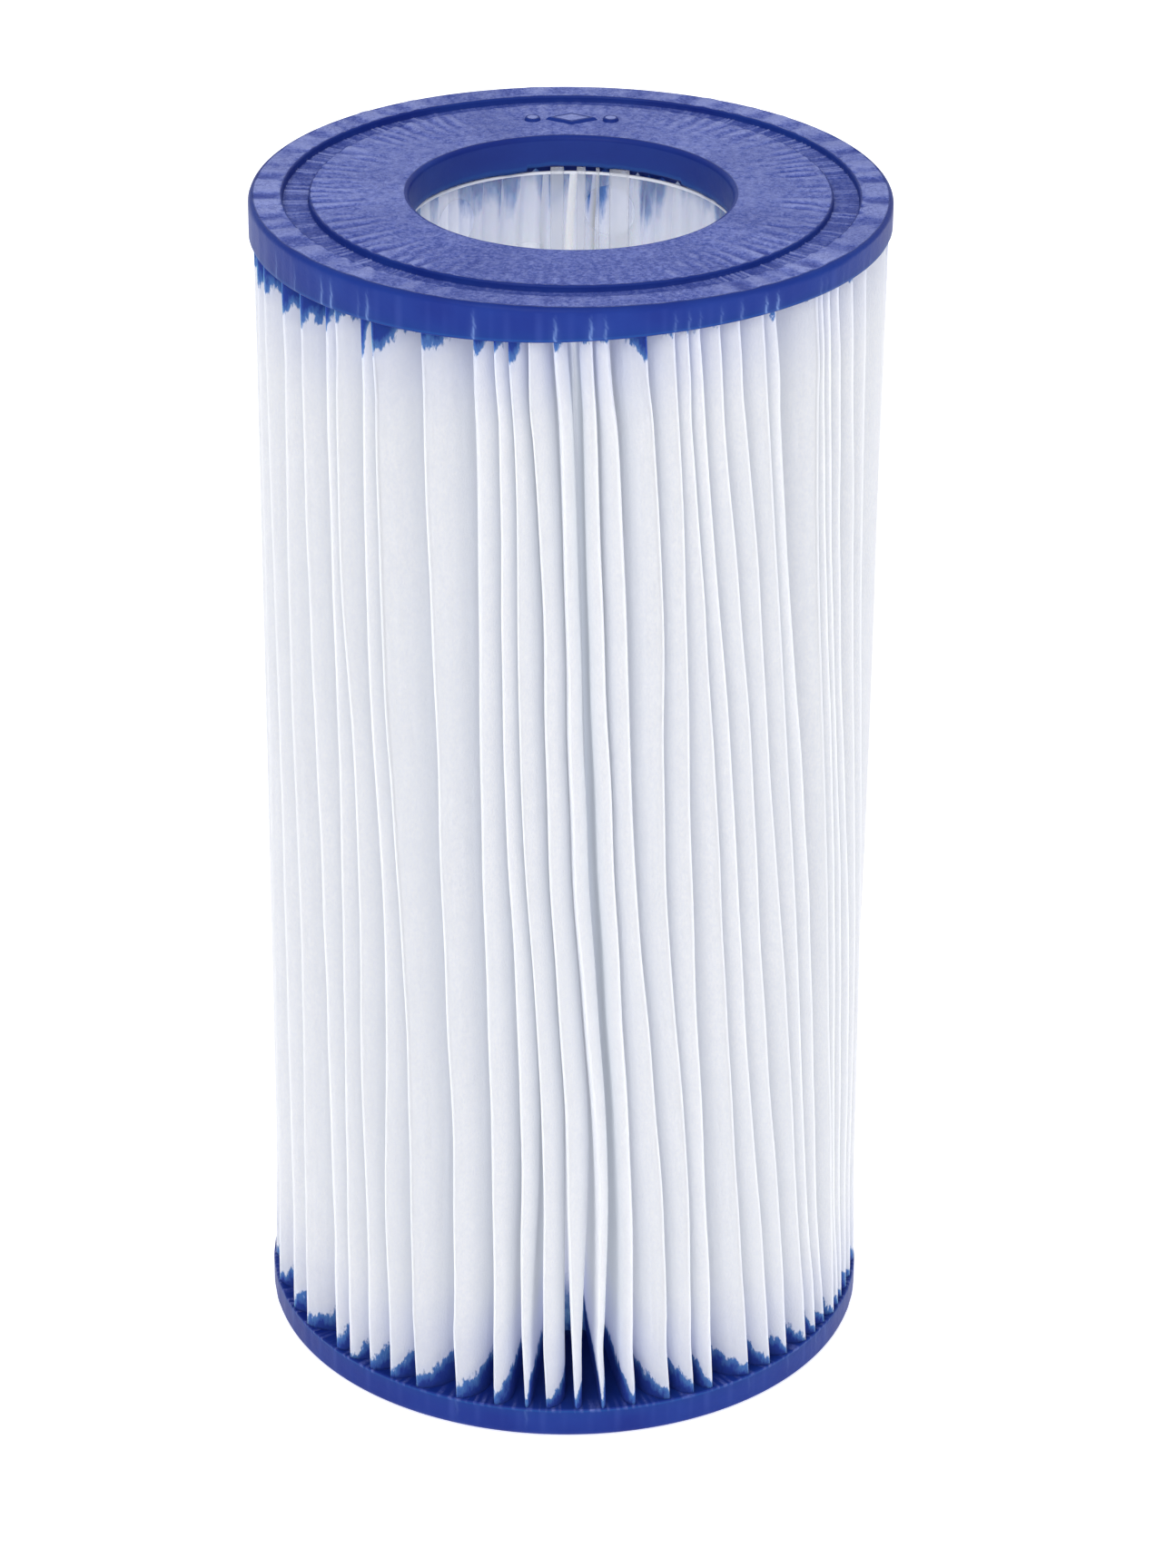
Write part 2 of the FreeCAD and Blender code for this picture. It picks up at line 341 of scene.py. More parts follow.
def cap_material():
    """Poured plastisol: chalky where the mould's face was, smooth and deep blue on its walls.

    bloom_and_sheen is how chalky a point is, with the face's painted sheen and a painted highlight along
    the side's top edge; flow_and_highlight is how pale or dull its chalky colour is, with painted highlight
    and shade where light rakes and a painted sheen at the back and sides; thin is how much light comes
    through the wall, band how pale a wall is, and streak where a fold shows through it.
    """
    m = Nodes("cap_plastisol")
    bloom_and_sheen = m.attribute("bloom_and_sheen")
    cloud = m.noise(70, 3)
    grain = m.noise(1400, 4, roughness=0.65)
    speck = m.noise(1900, 2)
    deep = m.blend(m.range(m.noise(60, 3), 0.35, 0.7), DEEP_BLUE, DEEP_CLOUD)
    thin = m.attribute("thin")
    deep = m.blend(thin, deep, THIN_BLUE)
    deep = m.blend(m.range(thin, 0.7, 1.0, 0, 0.8), deep, TEAL_BLUE)
    deep = m.blend(m.attribute("band"), deep, BAND_BLUE)
    # The chalky face's colours are lighter than the chalk alone, because the face's sheen is painted into
    # them.
    chalk_and_sheen = m.blend(m.range(grain, 0.4, 0.61), BLOOM_AND_SHEEN_DARK, BLOOM_AND_SHEEN_BLUE)
    chalk_and_sheen = m.blend(m.range(cloud, 0.3, 0.7, 0, 0.3), chalk_and_sheen, BLOOM_AND_SHEEN_CLOUD)
    chalk_and_sheen = m.blend(m.range(speck, 0.58, 0.7, 0, 0.5), chalk_and_sheen, PALE_BLOOM_AND_HIGHLIGHT)
    chalk_and_sheen = m.blend(m.range(speck, 0.42, 0.3, 0, 0.4), chalk_and_sheen, DULL_BLOOM_AND_SHADE)
    # Flow marks in pale and dull chalk. They also paint highlight and shade where light rakes, and a sheen
    # at the back and the sides.
    flow_and_highlight = m.math("ADD", m.attribute("flow_and_highlight"), m.range(m.noise(500, 3), 0.3, 0.7, -0.5, 0.5))
    chalk_and_sheen = m.blend(m.range(flow_and_highlight, 0.05, 1.1, 0, 0.75), chalk_and_sheen, PALE_BLOOM_AND_HIGHLIGHT)
    chalk_and_sheen = m.blend(m.range(flow_and_highlight, -0.05, -1.1, 0, 0.75), chalk_and_sheen, DULL_BLOOM_AND_SHADE)
    vein = m.math("ABSOLUTE", m.math("SUBTRACT", m.noise(760, 4, roughness=0.65), 0.5))
    patchy = m.range(m.noise(120, 2), 0.35, 0.6, 0.3, 1)
    crackle = m.math("MULTIPLY", m.range(vein, 0.0, 0.05, 0.55, 0), patchy)
    chalk_and_sheen = m.blend(crackle, chalk_and_sheen, CRACKLE_BLUE)
    base = m.blend(bloom_and_sheen, deep, chalk_and_sheen)
    m.colour(m.blend(m.attribute("streak"), base, SHOW_THROUGH))
    m.rough(m.range(bloom_and_sheen, 0, 1, 0.45, 0.58))
    relief = m.math("ADD", grain, m.math("MULTIPLY", speck, 0.4))
    relief = m.math("MULTIPLY", relief, m.range(bloom_and_sheen, 0, 1, 0.1, 1))
    m.bump((m.noise(380, 3), 0.08), (relief, 0.3))
    m.set(Specular_IOR_Level=0.12)
    return m.material


def sheet_material():
    """Spunbond polyester: a mat of fine fibres, stained blue where the cap's liquid crept up it.

    wick is how deep in the blue a point is, in millimetres, inward how near the core it is, and across how
    far round its nose a pleat has turned away from its fold. Painted shade is laid on by across, darker at
    each fold's crest and towards the next fold, and near the caps by wick. The sheet also glows a little,
    more towards the core, as painted light.
    """
    m = Nodes("nonwoven_media")
    wick = m.attribute("wick")
    jag = m.noise(620, 4, m.stretched(1, 1, 0.4), 0.6)
    fine = m.noise(2400, 3, m.stretched(1, 1, 0.3))
    reach = m.math("ADD", wick, m.range(jag, 0.25, 0.75, -1.6, 1.6))
    reach = m.math("ADD", reach, m.range(fine, 0.3, 0.7, -0.4, 0.4))
    tint = m.noise(38, 2, m.stretched(1, 1, 0.5))
    fibres = m.noise(2900, 3, m.stretched(1, 1, 0.5))
    white = m.blend(m.range(tint, 0.35, 0.65), SHEET_WHITE, SHEET_SHADE)
    mottle = m.noise(650, 4, m.stretched(1, 1, 0.6), 0.6)
    white = m.blend(m.range(mottle, 0.35, 0.65, 0, 0.5), white, SHEET_MOTTLE)
    white = m.blend(m.range(fibres, 0.38, 0.68, 0, 0.5), white, SHEET_FIBRE)
    across = m.attribute("across")
    # Painted shade: darker on each fold's crest, to tone down the light there, and darker and bluer towards
    # the next fold, down into the valley.
    white = m.blend(m.range(across, 0.02, 0.16), SHEET_CREST_PAINTED_SHADE, white)
    white = m.blend(m.range(across, 0.3, 1.0, 0, 0.8, smooth=True), white, SHEET_VALLEY_PAINTED_SHADE)
    # Painted shade and painted blue light cast off the caps, on the white sheet within some 17 mm of the
    # blue.
    far_cap_shade = m.range(wick, -17, 0, 0, 0.5, smooth=True)
    haze = m.math("ADD", far_cap_shade, m.range(wick, -3, 0, 0, 0.25, smooth=True))
    white = m.blend(haze, white, SHEET_CAP_PAINTED_SHADE)
    stained = m.blend(m.range(reach, 0.1, 2.4), WICK_EDGE, WICK_BLUE)
    # On the folds the stain ends sharply; at the roots it only seeped, and fades out.
    fade = m.range(m.attribute("inward"), 0.8, 0.95, -0.35, -4.0)
    dyed = m.blend(m.range(reach, fade, 0.35), white, stained)
    m.colour(dyed)
    # Painted light: the sheet glows a little in its own colour, more towards the core, standing in for
    # light that comes through it.
    m.feed(dyed, m.shader.inputs["Emission Color"])
    through = m.math("MULTIPLY_ADD", m.attribute("inward"), 0.13, 0.08)
    m.feed(through, m.shader.inputs["Emission Strength"])
    m.set(Roughness=0.92, Specular_IOR_Level=0.25, Subsurface_Weight=1.0, Subsurface_Scale=0.0035)
    m.shader.inputs["Subsurface Radius"].default_value = (1.0, 1.0, 1.0)
    m.bump((m.noise(240, 3), 0.14), (mottle, 0.05), (fibres, 0.06))
    return m.material


def core_material():
    """Thin milky polypropylene that lets the pleats behind it show."""
    m = Nodes("core_plastic")
    haze = m.noise(60, 2, m.stretched(1, 1, 0.4))
    m.colour(m.blend(m.range(haze, 0.3, 0.7), CORE_WHITE, CORE_HAZE))
    m.rough(m.range(m.noise(150, 2), 0.3, 0.7, 0.3, 0.45))
    m.bump((m.noise(120, 2, m.stretched(1, 1, 0.1)), 0.05))
    m.set(Alpha=0.14, Subsurface_Weight=0.3, Subsurface_Scale=0.002)
    return m.material


def cut_edge_material(name, alpha):
    """The tube's ribs, and its edges at its rims and round its holes: whiter than its walls."""
    m = Nodes(name)
    m.colour(m.blend(m.range(m.noise(300, 2), 0.3, 0.7), CORE_WHITE, CUT_EDGE))
    m.rough(m.range(m.noise(200, 2), 0.3, 0.7, 0.3, 0.5))
    m.set(Alpha=alpha)
    return m.material


def seam_material():
    """Hot-melt glue, squeezed out and set: waxy and slightly yellow."""
    m = Nodes("seam_adhesive")
    lumps = m.noise(220, 3)
    m.colour(m.blend(m.range(lumps, 0.3, 0.7), GLUE_PALE, GLUE_DARK))
    m.rough(m.range(m.noise(400, 2), 0.3, 0.7, 0.3, 0.5))
    m.bump((lumps, 0.15))
    m.set(Subsurface_Weight=0.3, Subsurface_Scale=0.002)
    return m.material


def floor_material():
    """Plain near-white paper that glows a little, so that it comes out white."""
    m = Nodes("studio_floor")
    m.colour(m.blend(m.noise(2, 2), (0.93, 0.93, 0.94, 1), (0.95, 0.95, 0.955, 1)))
    m.set(Roughness=0.9, Specular_IOR_Level=0.1, Emission_Color=(1, 1, 1, 1), Emission_Strength=0.58)
    return m.material


# ---- the pleated sheet ----
def fold_angles(z):
    """Angle of every pleat's fold at each height: the front ones as set, the back ones evened out."""
    front_pleats = np.array(FRONT_PLEATS)
    top, bottom = front_pleats[:, 0], front_pleats[:, 1]
    share = (z[:, None] - CAP_SIDE) / (FACE_Z - 2 * CAP_SIDE)
    front = bottom + (top - bottom) * np.clip(share, 0, 1)
    gap = 360 - (front[:, -1] - front[:, 0])
    shares = np.cumsum(RANDOM.uniform(0.65, 1.35, BACK_PLEATS + 1))
    shares = shares[:-1] / shares[-1]
    sway = waves(BACK_PLEATS, 0.2, 1.0, len(z)) * 1.3
    back = front[:, -1:] + gap[:, None] * shares + sway
    angles = np.concatenate([front, back], axis=1)
    width = next_one(angles) - angles
    room = np.minimum(width, np.roll(width, 1, axis=1))
    buckled = shared_waves(angles.shape[1], 0.5, 2.6, len(z)) * 0.5
    own = waves(angles.shape[1], 0.6, 3.0, len(z)) * np.minimum(0.2 * room, 0.8)
    own = own + waves(angles.shape[1], 5, 11, len(z)) * np.minimum(0.05 * room, 0.14)
    free = smoothstep((z[:, None] - CAP_SIDE) / 25) * smoothstep((FACE_Z - CAP_SIDE - z[:, None]) / 15)
    return angles + (buckled + own) * free


def next_one(angles):
    """The same angles moved on by one pleat, going once round the axis."""
    following = np.roll(angles, -1, axis=1)
    following[:, -1] += 360
    return following


def leans(pleats):
    """-1 for a pleat that lies over to the left, as seen from outside, and 1 to the right."""
    index = np.arange(pleats)
    front_turn = np.tanh((index - LEFT_LEANING + 0.5) * 1.5)
    back_turn = np.tanh((index - (pleats + len(FRONT_PLEATS)) / 2) / 3)
    return np.where(index < (LEFT_LEANING + pleats) / 2, front_turn, -back_turn)


def base_angles(folds, lean):
    """Angle of the middle of each pleat's base on the core: bases are kept apart."""
    bases = folds - BASE_SHIFT * lean * (next_one(folds) - folds)
    for _ in range(40):
        short = np.maximum(LEAST_BASE_GAP - (next_one(bases) - bases), 0) / 2
        bases = bases - short + np.roll(short, 1, axis=1)
    return bases


def fullness(z):
    """How far each pleat puffs up at each height: less at the caps, least at the bottom one."""
    pleats = len(FRONT_PLEATS) + BACK_PLEATS
    kept = RANDOM.uniform(0.62, 0.82, pleats)
    kept[:len(FRONT_PLEATS)] = np.array(FRONT_PLEATS)[:, 4]
    from_bottom = smoothstep((z[:, None] - 3) / 75) ** 0.7
    from_top = 0.85 + 0.15 * smoothstep((FACE_Z - 5 - z[:, None]) / 45)
    return (kept + (1 - kept) * from_bottom) * from_top


def panel_shares(gap_width, lean):
    """How much of the gap to its neighbour each pleat's nose fills, to its right and to its left."""
    right = np.clip(0.4 - 0.45 * lean, 0.13, 1)
    left = np.clip(0.4 + 0.45 * lean, 0.13, 1)
    both = right + np.roll(left, -1)
    squeeze = np.where(both > 1, 0.74 / both, 1)
    free = np.clip(1 - CLEARANCE / gap_width, 0.1, 1)
    return free * right * squeeze, np.roll(free, 1, axis=1) * left * np.roll(squeeze, 1)


def pleat_panels(z, folds):
    """Both panels of every pleat, as angles and radii over height, pleat and step."""
    lean = leans(folds.shape[1])
    bases = base_angles(folds, lean)
    flare = FOOT_FLARE * (1 - smoothstep((z[:, None] - CAP_SIDE) / 25))
    tip = TIP_RADIUS - 0.15 + flare + 0.2 * waves(folds.shape[1], 0.3, 1.2, len(z))
    gap_width = np.radians(next_one(folds) - folds) * TIP_RADIUS
    full = fullness(z) * (1 + 0.08 * waves(folds.shape[1], 0.4, 1.4, len(z)))
    right, left = panel_shares(gap_width, lean)
    right = np.clip(right * full, 0.04, 1)
    left = np.clip(left * full, 0.04, 1)
    widest = np.maximum(right * gap_width, left * np.roll(gap_width, 1, axis=1))
    nose_depth = np.clip(1.3 * widest, 0.9, 8.0)
    nose_start = 1 - nose_depth / (tip - ROOT_RADIUS)

    base = np.array(BASE_STEPS)
    turn = np.radians(NOSE_STEPS)
    nose_rise = np.sin(turn) ** NOSE_ROUND
    depth = np.concatenate([nose_start[..., None] * base,
                            nose_start[..., None] + (1 - nose_start[..., None]) * nose_rise], axis=-1)
    full_share = np.concatenate([smoothstep(base), np.cos(turn) ** NOSE_ROUND])
    foot_share = np.concatenate([1 - smoothstep(base), np.zeros(len(turn))])
    root = np.zeros(len(foot_share))
    root[0] = FOOT_SHARE / 2
    beside = (0.5 - FOOT_SHARE / 2) * foot_share + root
    radius = ROOT_RADIUS + (tip - ROOT_RADIUS)[..., None] * depth
    middle = folds[..., None] + (bases - folds)[..., None] * (1 - depth) ** 1.15
    gap = next_one(middle) - middle
    to_right = middle + gap * (right[..., None] * full_share + beside)
    to_left = middle - np.roll(gap, 1, axis=1) * (left[..., None] * full_share + beside)
    return to_left, to_right, radius


def wick_heights(top_folds):
    """How far the blue has crept from the caps, in millimetres: down each fold and each root from
    the top cap, and up each fold from the bottom cap."""
    pleats = len(top_folds)
    fold = RANDOM.uniform(0.0, 4.0, pleats)
    fold[:len(FRONT_PLEATS)] = np.array(FRONT_PLEATS)[:, 2]
    root = RANDOM.uniform(-2.5, 9.0, pleats)
    centres, reaches = np.array(SEEPED).T
    seen = (top_folds > SEEPED_VIEW[0]) & (top_folds < SEEPED_VIEW[1])
    root = np.where(seen, peaks(top_folds, centres, reaches, SEEPED_WIDTH) - 2, root)
    return fold, root, RANDOM.uniform(0.8, 2.6, pleats)


def pour_line(angle):
    """Height of the top cap's lower edge: the cap was poured with the pleats a little askew."""
    return FACE_Z - CAP_SIDE + POUR_SLANT * np.tanh(2.2 * np.sin(np.radians(angle - 2)))


def levels():
    """Heights of the sheet's rows, closer together near the caps."""
    low = np.linspace(SHEET_LOW[2], 22, 12)
    middle = np.linspace(26, FACE_Z - 26, 36)
    high = np.linspace(FACE_Z - 22, SHEET_HIGH[2], 10)
    return np.concatenate([low, middle, high])


def sheet_rows(z, folds):
    """The sheet's cross-section at each height, and how deep into the blue each point is."""
    to_left, to_right, radius = pleat_panels(z, folds)
    pleats = folds.shape[1]
    angle = np.concatenate([to_left[..., :-1], to_right[..., ::-1][..., :-1]], axis=-1)
    reach = np.concatenate([radius[..., :-1], radius[..., ::-1][..., :-1]], axis=-1)
    depth = (reach.mean(axis=(0, 1)) - ROOT_RADIUS) / (TIP_RADIUS - ROOT_RADIUS)
    inward = 1 - depth
    off_fold = np.concatenate([np.ones(len(BASE_STEPS)), np.cos(np.radians(NOSE_STEPS)) ** NOSE_ROUND])
    off_fold = np.concatenate([off_fold[:-1], off_fold[::-1][:-1]])
    fold, root, low = wick_heights(folds[-1])
    spread = 0.65 * smoothstep((-42 - folds[-1]) / 12)[:, None]
    at_fold = 1 - (1 - spread) * off_fold**1.2
    at_root = smoothstep((inward - 0.8) / 0.2)
    tilt = RANDOM.uniform(-1.0, 1.0, pleats)[:, None] * np.linspace(-0.5, 0.5, len(inward))
    crept = fold[:, None] * (1.15 * at_fold - 0.15) + root[:, None] * at_root
    high_line = pour_line(angle) - crept - tilt
    low_line = CAP_SIDE + low[:, None] + 3.4 * off_fold**1.4 + 3 * inward + tilt
    wick = np.maximum(z[:, None, None] - high_line, low_line - z[:, None, None])
    wick = np.where(inward > 0.85, np.minimum(wick, ROOT_STAIN), wick)
    # Which side of each pleat is open to view. across is kept on that side alone, and the material paints
    # shade by it.
    lean = leans(pleats)[:, None]
    lies_left = smoothstep(lean + 0.5)
    half = len(BASE_STEPS) + len(NOSE_STEPS) - 1
    open_side = np.repeat(np.concatenate([lies_left, 1 - lies_left], axis=1), half, axis=1)
    reads = {"wick": np.clip(wick, -40, 40), "across": off_fold * open_side, "inward": inward}
    reads = {key: np.broadcast_to(value, wick.shape) for key, value in reads.items()}
    return around(reach, angle, z[:, None, None]), reads


def make_sheet(z, points, reads, material):
    """The whole sheet as one closed band, with its thickness."""
    rows = len(z)
    columns = reads["wick"][0].size
    faces = grid_faces(rows, columns, close_columns=True)
    sheet = mesh_object("pleated_sheet", points, faces, material, reads)
    thick = sheet.modifiers.new("thickness", "SOLIDIFY")
    thick.thickness = SHEET_THICKNESS * MM
    thick.offset = 0
    rides(sheet, "nonwoven_media", "pleated_media")


def make_seam(z, points, material):
    """A bead of glue that wraps the sheet's two edges, along one panel of the rearmost pleat."""
    rearmost = int(np.argmax(points[len(z) // 2, :, len(BASE_STEPS) + len(NOSE_STEPS) - 1, 1]))
    inside = (z > CAP_SIDE - 1) & (z < FACE_Z - CAP_SIDE + 1)
    centre = points[inside][::2, rearmost, 4:8, :]
    rows = len(centre)
    along = np.gradient(centre, axis=1)
    along[..., 2] = 0
    along /= np.linalg.norm(along, axis=-1, keepdims=True)
    across = np.stack([-along[..., 1], along[..., 0], along[..., 2]], axis=-1)
    half = np.array([0.25, 0.6, 0.6, 0.25])[None, :, None] * (1 + 0.2 * waves(1, 3, 9, rows))[:, :, None]
    outline = np.concatenate([centre + across * half, (centre - across * half)[:, ::-1]], axis=1)
    columns = outline.shape[1]
    faces = grid_faces(rows, columns, close_columns=True)
    faces.append(list(range(columns))[::-1])
    faces.append([(rows - 1) * columns + k for k in range(columns)])
    bead = mesh_object("seam_bead", outline, faces, material)
    soft = bead.modifiers.new("soft", "SUBSURF")
    soft.levels = 1
    soft.render_levels = 1
    rides(bead, "seam_adhesive", "media_side_seam")


# ---- the caps ----
def arc(centre, radius, start, end, steps):
    """Points of an arc in the radius-height plane."""
    a = np.radians(np.linspace(start, end, steps))
    return [(centre[0] + radius * math.cos(t), centre[1] + radius * math.sin(t)) for t in a]


def run(start, end, steps):
    """Points of a straight run, without its last one."""
    t = np.linspace(0, 1, steps, endpoint=False)[:, None]
    return [tuple(p) for p in np.array(start) * (1 - t) + np.array(end) * t]


def cap_profile():
    """The cap's turned outline, with its mould face at height 0 and its media side below."""
    profile = run((BORE_RADIUS, -COLLAR_VISIBLE), (BORE_RADIUS, -EDGE_ROUND), 9)
    profile += arc((BORE_RADIUS + EDGE_ROUND, -EDGE_ROUND), EDGE_ROUND, 180, 90, 7)
    profile += run((BORE_RADIUS + EDGE_ROUND + 0.5, 0), (GROOVE_INNER - GROOVE_ROUND - 0.3, 0), 12)
    profile += arc((GROOVE_INNER - GROOVE_ROUND, -GROOVE_ROUND), GROOVE_ROUND, 90, 0, 4)
    profile += run((GROOVE_INNER, -GROOVE_DEPTH + 0.15), (GROOVE_INNER + 0.15, -GROOVE_DEPTH), 1)
    profile += run((GROOVE_INNER + 0.15, -GROOVE_DEPTH), (GROOVE_OUTER - 0.15, -GROOVE_DEPTH), 6)
    profile += [(GROOVE_OUTER - 0.15, -GROOVE_DEPTH), (GROOVE_OUTER, -GROOVE_DEPTH + 0.15)]
    profile += arc((GROOVE_OUTER + GROOVE_ROUND, -GROOVE_ROUND), GROOVE_ROUND, 180, 90, 4)
    profile += run((GROOVE_OUTER + GROOVE_ROUND + 0.3, 0), (CAP_RADIUS - EDGE_ROUND - 0.3, 0), 6)
    profile += arc((CAP_RADIUS - EDGE_ROUND, -EDGE_ROUND), EDGE_ROUND, 90, 0, 7)
    profile += run((CAP_RADIUS, -EDGE_ROUND - 0.5), (CAP_RADIUS, -CAP_SIDE + 0.25), 8)
    profile += arc((CAP_RADIUS - 0.25, -CAP_SIDE + 0.25), 0.25, 0, -90, 4)
    profile += run((CAP_RADIUS - 0.8, -CAP_SIDE + 0.1), (ROOT_RADIUS + 1, -CAP_SIDE), 8)
    profile += [(ROOT_RADIUS, -CAP_SIDE), (BORE_RADIUS + 1, -COLLAR_VISIBLE + 0.1)]
    profile += [(BORE_RADIUS + 0.25, -COLLAR_VISIBLE - 0.12)]
    return np.array(profile)


def turns_of(angle, count, low, high):
    """A smooth random curve round the axis, within about -1 to 1, made of whole waves."""
    total = np.zeros_like(angle)
    for _ in range(count):
        total += np.sin(RANDOM.integers(low, high) * np.radians(angle) + RANDOM.uniform(0, 2 * math.pi))
    return total / math.sqrt(count)


def peaks(angle, centres, heights, width):
    """Bumps of a given width in degrees at some angles."""
    apart = (angle[..., None] - centres + 180) % 360 - 180
    return (heights * np.exp(-((apart / width) ** 2))).sum(axis=-1)


def mould_marks(angle, folds):
    """Random curves round the axis that the relief and the colours of one cap share."""
    sideways = smoothstep((np.abs(np.sin(np.radians(angle))) - 0.25) / 0.5)
    strength = RANDOM.uniform(0.4, 1.0, len(folds))
    plies = peaks(angle, folds - 0.55, strength, 0.3) + peaks(angle, folds + 0.55, strength, 0.3)
    lines = np.clip(plies + np.maximum(turns_of(angle, 12, 90, 300) - 0.6, 0), 0, 1)
    return SimpleNamespace(
        sideways=sideways,                              # 1 to the left and right, where light rakes
        over_fold=peaks(angle, folds, strength, 1.3),   # where a pleat's fold lies below the face
        lines=lines * (0.1 + 0.9 * sideways),           # the sheet's plies, in the groove's floor
        ripple=turns_of(angle, 12, 60, 130),            # fine flow ripples that run outwards
        twist=turns_of(angle, 8, 30, 120),
        slow=turns_of(angle, 5, 2, 14),
        stroke=turns_of(angle, 8, 20, 75),              # broad strokes across the rim
    )


def cap_regions(radius, height):
    """Which of the outline's points lie on which part of a cap, before any relief."""
    return SimpleNamespace(
        face=(height > -0.02) & (radius > BORE_RADIUS + 0.5),
        groove=(np.abs(height + GROOVE_DEPTH) < 0.02) & (radius > GROOVE_INNER) & (radius < GROOVE_OUTER),
        side=(radius > CAP_RADIUS - 0.02) & (height < -0.3),
        bore=radius < BORE_RADIUS + 0.02,
        media=(height < -CAP_SIDE + 0.12) & (radius < CAP_RADIUS - 0.5) & (radius > ROOT_RADIUS - 0.1),
        rim=smoothstep((radius - GROOVE_OUTER) / 1.5),
        outwards=smoothstep((radius - BORE_RADIUS - 4) / 11),
    )


def ripples_of_face(radius, on, marks):
    """Flow ripples between the bore and the groove, which change as they run outwards."""
    part = 0.5 + 0.5 * np.sin(0.55 * radius + 2 * marks.slow)
    return (1 - on.rim) * on.outwards * (marks.ripple * part + marks.twist * (1 - part))


def cap_lift(radius, height, on, marks, ripples):
    """How far the relief raises each point, in millimetres."""
    raked = 0.25 + 0.75 * marks.sideways
    strokes = 0.13 * marks.stroke * (0.3 + 0.7 * marks.sideways) + 0.03 * marks.over_fold
    lift = on.face * (0.15 * raked * ripples + 0.03 * marks.slow + on.rim * strokes)
    lift = lift + on.groove * (0.3 * marks.lines - 0.06 + 0.04 * marks.ripple)
    climbed = smoothstep((47 - radius) / 15) * smoothstep((radius - ROOT_RADIUS) / 1.5)
    lift = lift - on.media * (climbed * (2.2 + 0.6 * marks.slow) + 0.05 * marks.over_fold)
    return lift + on.bore * smoothstep((-height - 4) / 2) * 0.16 * (marks.slow + 0.4 * marks.stroke)


def collar_gap(radius, height, angle):
    """Raises the top cap's collar off the core's rim at the back, and closes the gap behind it."""
    in_gap = (angle > COLLAR_GAP[0]) & (angle < COLLAR_GAP[1])
    collar = smoothstep((-height - 3.5) / 2.3) * (radius < BORE_RADIUS + 1.05)
    behind = np.abs(radius - ROOT_RADIUS) < 0.01
    return in_gap * (COLLAR_GAP_HEIGHT * collar - COLLAR_GAP_BACK * behind)


def show_through(folds, at_top):
    """How clearly each fold shows through a cap's side, 0 to 1."""
    if not at_top:
        return np.maximum(RANDOM.uniform(-0.8, 0.2, len(folds)), 0)
    front = np.array(FRONT_PLEATS)[:, 3]
    return np.concatenate([front, np.maximum(RANDOM.uniform(-0.6, 1.0, BACK_PLEATS), 0)])


def cap_reads(radius, height, angle, folds, on, marks, ripples, at_top):
    """What the caps' material reads at each point."""
    # A fold that nearly touches the side shows through it, most of all next to the pleats.
    seen = show_through(folds, at_top)
    faint = smoothstep((-height - 0.6) / 4.0)
    wobble = 0.12 * np.sin(2.4 * height) + 0.06 * np.sin(6 * height)
    streak = peaks(angle + wobble, folds, seen, 0.18) + 0.1 * peaks(angle, folds, seen, 0.9)
    # Paler and duller flow marks, strongest where light rakes across the ripples and the rim's strokes at
    # the sides. This is painted highlight and shade laid on real flow marks. The face is also palest at the
    # back and the sides, which is a painted sheen.
    away = smoothstep(0.9 - 0.9 * np.cos(np.radians(angle)))
    painted_sheen = 0.15 * marks.sideways + 0.2 * on.rim * marks.sideways + 0.28 * away
    flow_and_highlight = ripples + on.rim * (1.15 * marks.stroke + 0.4 * marks.over_fold)
    flow_and_highlight = on.face * (flow_and_highlight * (0.25 + 0.75 * marks.sideways) + painted_sheen) + on.groove * (1.8 * marks.lines - 0.3)
    banded = (0.32 if at_top else 0.25) * smoothstep(0.45 * turns_of(angle, 10, 30, 150))
    band = banded * on.side * smoothstep((2.0 - height) / 6) + 0.3 * on.bore
    # How chalky each point is. On the face this also lays on the painted sheen.
    bloom_and_sheen = on.face * (0.9 + 0.1 * marks.slow) + on.groove * (0.55 + 0.45 * marks.lines)
    # A painted highlight along the top of the side wall, just under the rounded edge.
    bloom_and_sheen = bloom_and_sheen + 0.25 * on.side * smoothstep((0.9 + height) / 0.9)
    # A chalky crust along the edge that the pleats stand in, on the bottom cap alone.
    crust = (radius > CAP_RADIUS - 1) * np.exp(-(((height + CAP_SIDE - 0.15) / 0.3) ** 2))
    crust = crust * (0 if at_top else 1) * np.clip(turns_of(angle, 12, 20, 300), 0, 1)
    thin = 0.88 * (on.side + on.bore) * smoothstep((-height - 3.0) / 2.6)
    reads = {"bloom_and_sheen": bloom_and_sheen + 0.5 * crust, "streak": np.clip(on.side * faint * streak, 0, 1),
             "thin": thin, "flow_and_highlight": flow_and_highlight, "band": band}
    shape = np.broadcast_shapes(height.shape, angle.shape)
    return {key: np.broadcast_to(value, shape) for key, value in reads.items()}


